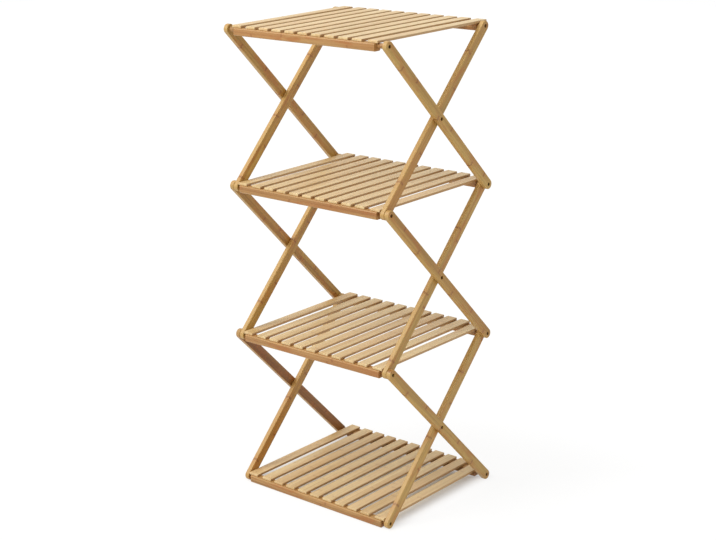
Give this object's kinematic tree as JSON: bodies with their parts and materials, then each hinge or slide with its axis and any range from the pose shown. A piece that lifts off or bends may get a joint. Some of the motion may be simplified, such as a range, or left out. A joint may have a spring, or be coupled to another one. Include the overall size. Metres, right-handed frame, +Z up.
{
  "type": "folding shelf rack",
  "caption": "Tall folding rack with open slatted shelves stacked between crossed scissor legs at both sides, in pale and honey-brown bamboo.",
  "frame": {"origin": "centre of the footprint at floor level", "axes": "+X along the rails to the right, +Y from front to back, +Z up"},
  "size_m": [0.404, 0.334, 0.95],
  "materials": {
    "slats": "satin lacquered pale bamboo",
    "rails": "satin lacquered honey-brown bamboo",
    "legs": "satin lacquered honey-brown bamboo",
    "spacers": "satin bamboo",
    "screws": "dark plated steel"
  },
  "bodies": {
    "rear_rail_0": {"rail_rear_0": "rails", "screw_rear_0_left": "screws", "screw_rear_0_right": "screws", "spacer_rear_left": "spacers", "spacer_rear_right": "spacers"},
    "rear_rail_1": {"rail_rear_1": "rails", "screw_rear_1_left": "screws", "screw_rear_1_right": "screws"},
    "rear_rail_2": {"rail_rear_2": "rails", "screw_rear_2_left": "screws", "screw_rear_2_right": "screws"},
    "rear_rail_3": {"rail_rear_3": "rails", "screw_rear_3_left": "screws", "screw_rear_3_right": "screws"},
    "outer_legs_1": {"leg_outer_1_left": "legs", "leg_outer_1_right": "legs", "bolt_1_left": "screws", "bolt_1_right": "screws"},
    "inner_legs_1": {"leg_inner_1_left": "legs", "leg_inner_1_right": "legs"},
    "outer_legs_2": {"leg_outer_2_left": "legs", "leg_outer_2_right": "legs", "bolt_2_left": "screws", "bolt_2_right": "screws"},
    "inner_legs_2": {"leg_inner_2_left": "legs", "leg_inner_2_right": "legs"},
    "outer_legs_3": {"leg_outer_3_left": "legs", "leg_outer_3_right": "legs", "bolt_3_left": "screws", "bolt_3_right": "screws"},
    "inner_legs_3": {"leg_inner_3_left": "legs", "leg_inner_3_right": "legs"},
    "shelf_0": {"rail_front_0": "rails", "slats_0": "slats", "slat_left_0": "slats", "slat_right_0": "slats", "screw_front_0_left": "screws", "screw_front_0_right": "screws"},
    "shelf_1": {"rail_front_1": "rails", "slats_1": "slats", "slat_left_1": "slats", "slat_right_1": "slats", "screw_front_1_left": "screws", "screw_front_1_right": "screws"},
    "shelf_2": {"rail_front_2": "rails", "slats_2": "slats", "slat_left_2": "slats", "slat_right_2": "slats", "screw_front_2_left": "screws", "screw_front_2_right": "screws"},
    "shelf_3": {"rail_front_3": "rails", "slats_3": "slats", "slat_left_3": "slats", "slat_right_3": "slats", "screw_front_3_left": "screws", "screw_front_3_right": "screws", "spacer_front_left": "spacers", "spacer_front_right": "spacers"}
  },
  "joints": [
    {"name": "outer_legs_1_turn", "type": "hinge", "parent": "rear_rail_0", "child": "outer_legs_1", "pos_m": [0, 0.148, 0.01], "axis": [-1, 0, 0], "range_deg": [0, 40]},
    {"name": "crossing_1_turn", "type": "hinge", "parent": "outer_legs_1", "child": "inner_legs_1", "pos_m": [0, -0.004, 0.165], "axis": [1, 0, 0], "range_deg": [0, 80]},
    {"name": "shelf_0_lift", "type": "hinge", "parent": "inner_legs_1", "child": "shelf_0", "pos_m": [0, -0.156, 0.01], "axis": [1, 0, 0], "range_deg": [0, 40]},
    {"name": "rear_rail_1_turn", "type": "hinge", "parent": "inner_legs_1", "child": "rear_rail_1", "pos_m": [0, 0.148, 0.32], "axis": [-1, 0, 0], "range_deg": [0, 40]},
    {"name": "outer_legs_2_turn", "type": "hinge", "parent": "inner_legs_1", "child": "outer_legs_2", "pos_m": [0, 0.148, 0.32], "axis": [-1, 0, 0], "range_deg": [0, 80]},
    {"name": "fold", "type": "hinge", "parent": "outer_legs_2", "child": "inner_legs_2", "pos_m": [0, -0.004, 0.475], "axis": [1, 0, 0], "range_deg": [0, 80]},
    {"name": "shelf_1_lift", "type": "hinge", "parent": "inner_legs_2", "child": "shelf_1", "pos_m": [0, -0.156, 0.32], "axis": [1, 0, 0], "range_deg": [0, 40]},
    {"name": "rear_rail_2_turn", "type": "hinge", "parent": "inner_legs_2", "child": "rear_rail_2", "pos_m": [0, 0.148, 0.63], "axis": [-1, 0, 0], "range_deg": [0, 40]},
    {"name": "outer_legs_3_turn", "type": "hinge", "parent": "inner_legs_2", "child": "outer_legs_3", "pos_m": [0, 0.148, 0.63], "axis": [-1, 0, 0], "range_deg": [0, 80]},
    {"name": "crossing_3_turn", "type": "hinge", "parent": "outer_legs_3", "child": "inner_legs_3", "pos_m": [0, -0.004, 0.785], "axis": [1, 0, 0], "range_deg": [0, 80]},
    {"name": "shelf_2_lift", "type": "hinge", "parent": "inner_legs_3", "child": "shelf_2", "pos_m": [0, -0.156, 0.63], "axis": [1, 0, 0], "range_deg": [0, 40]},
    {"name": "rear_rail_3_turn", "type": "hinge", "parent": "inner_legs_3", "child": "rear_rail_3", "pos_m": [0, 0.148, 0.94], "axis": [-1, 0, 0], "range_deg": [0, 40]},
    {"name": "shelf_3_lift", "type": "hinge", "parent": "outer_legs_3", "child": "shelf_3", "pos_m": [0, -0.156, 0.94], "axis": [1, 0, 0], "range_deg": [0, 120]}
  ],
  "couplings": [
    {"joint": "outer_legs_1_turn", "follows": "fold", "ratio": 0.5},
    {"joint": "crossing_1_turn", "follows": "fold", "ratio": 1},
    {"joint": "shelf_0_lift", "follows": "fold", "ratio": 0.5},
    {"joint": "rear_rail_1_turn", "follows": "fold", "ratio": 0.5},
    {"joint": "outer_legs_2_turn", "follows": "fold", "ratio": 1},
    {"joint": "shelf_1_lift", "follows": "fold", "ratio": 0.5},
    {"joint": "rear_rail_2_turn", "follows": "fold", "ratio": 0.5},
    {"joint": "outer_legs_3_turn", "follows": "fold", "ratio": 1},
    {"joint": "crossing_3_turn", "follows": "fold", "ratio": 1},
    {"joint": "shelf_2_lift", "follows": "fold", "ratio": 0.5},
    {"joint": "rear_rail_3_turn", "follows": "fold", "ratio": 0.5},
    {"joint": "shelf_3_lift", "follows": "fold", "ratio": 1.5}
  ]
}
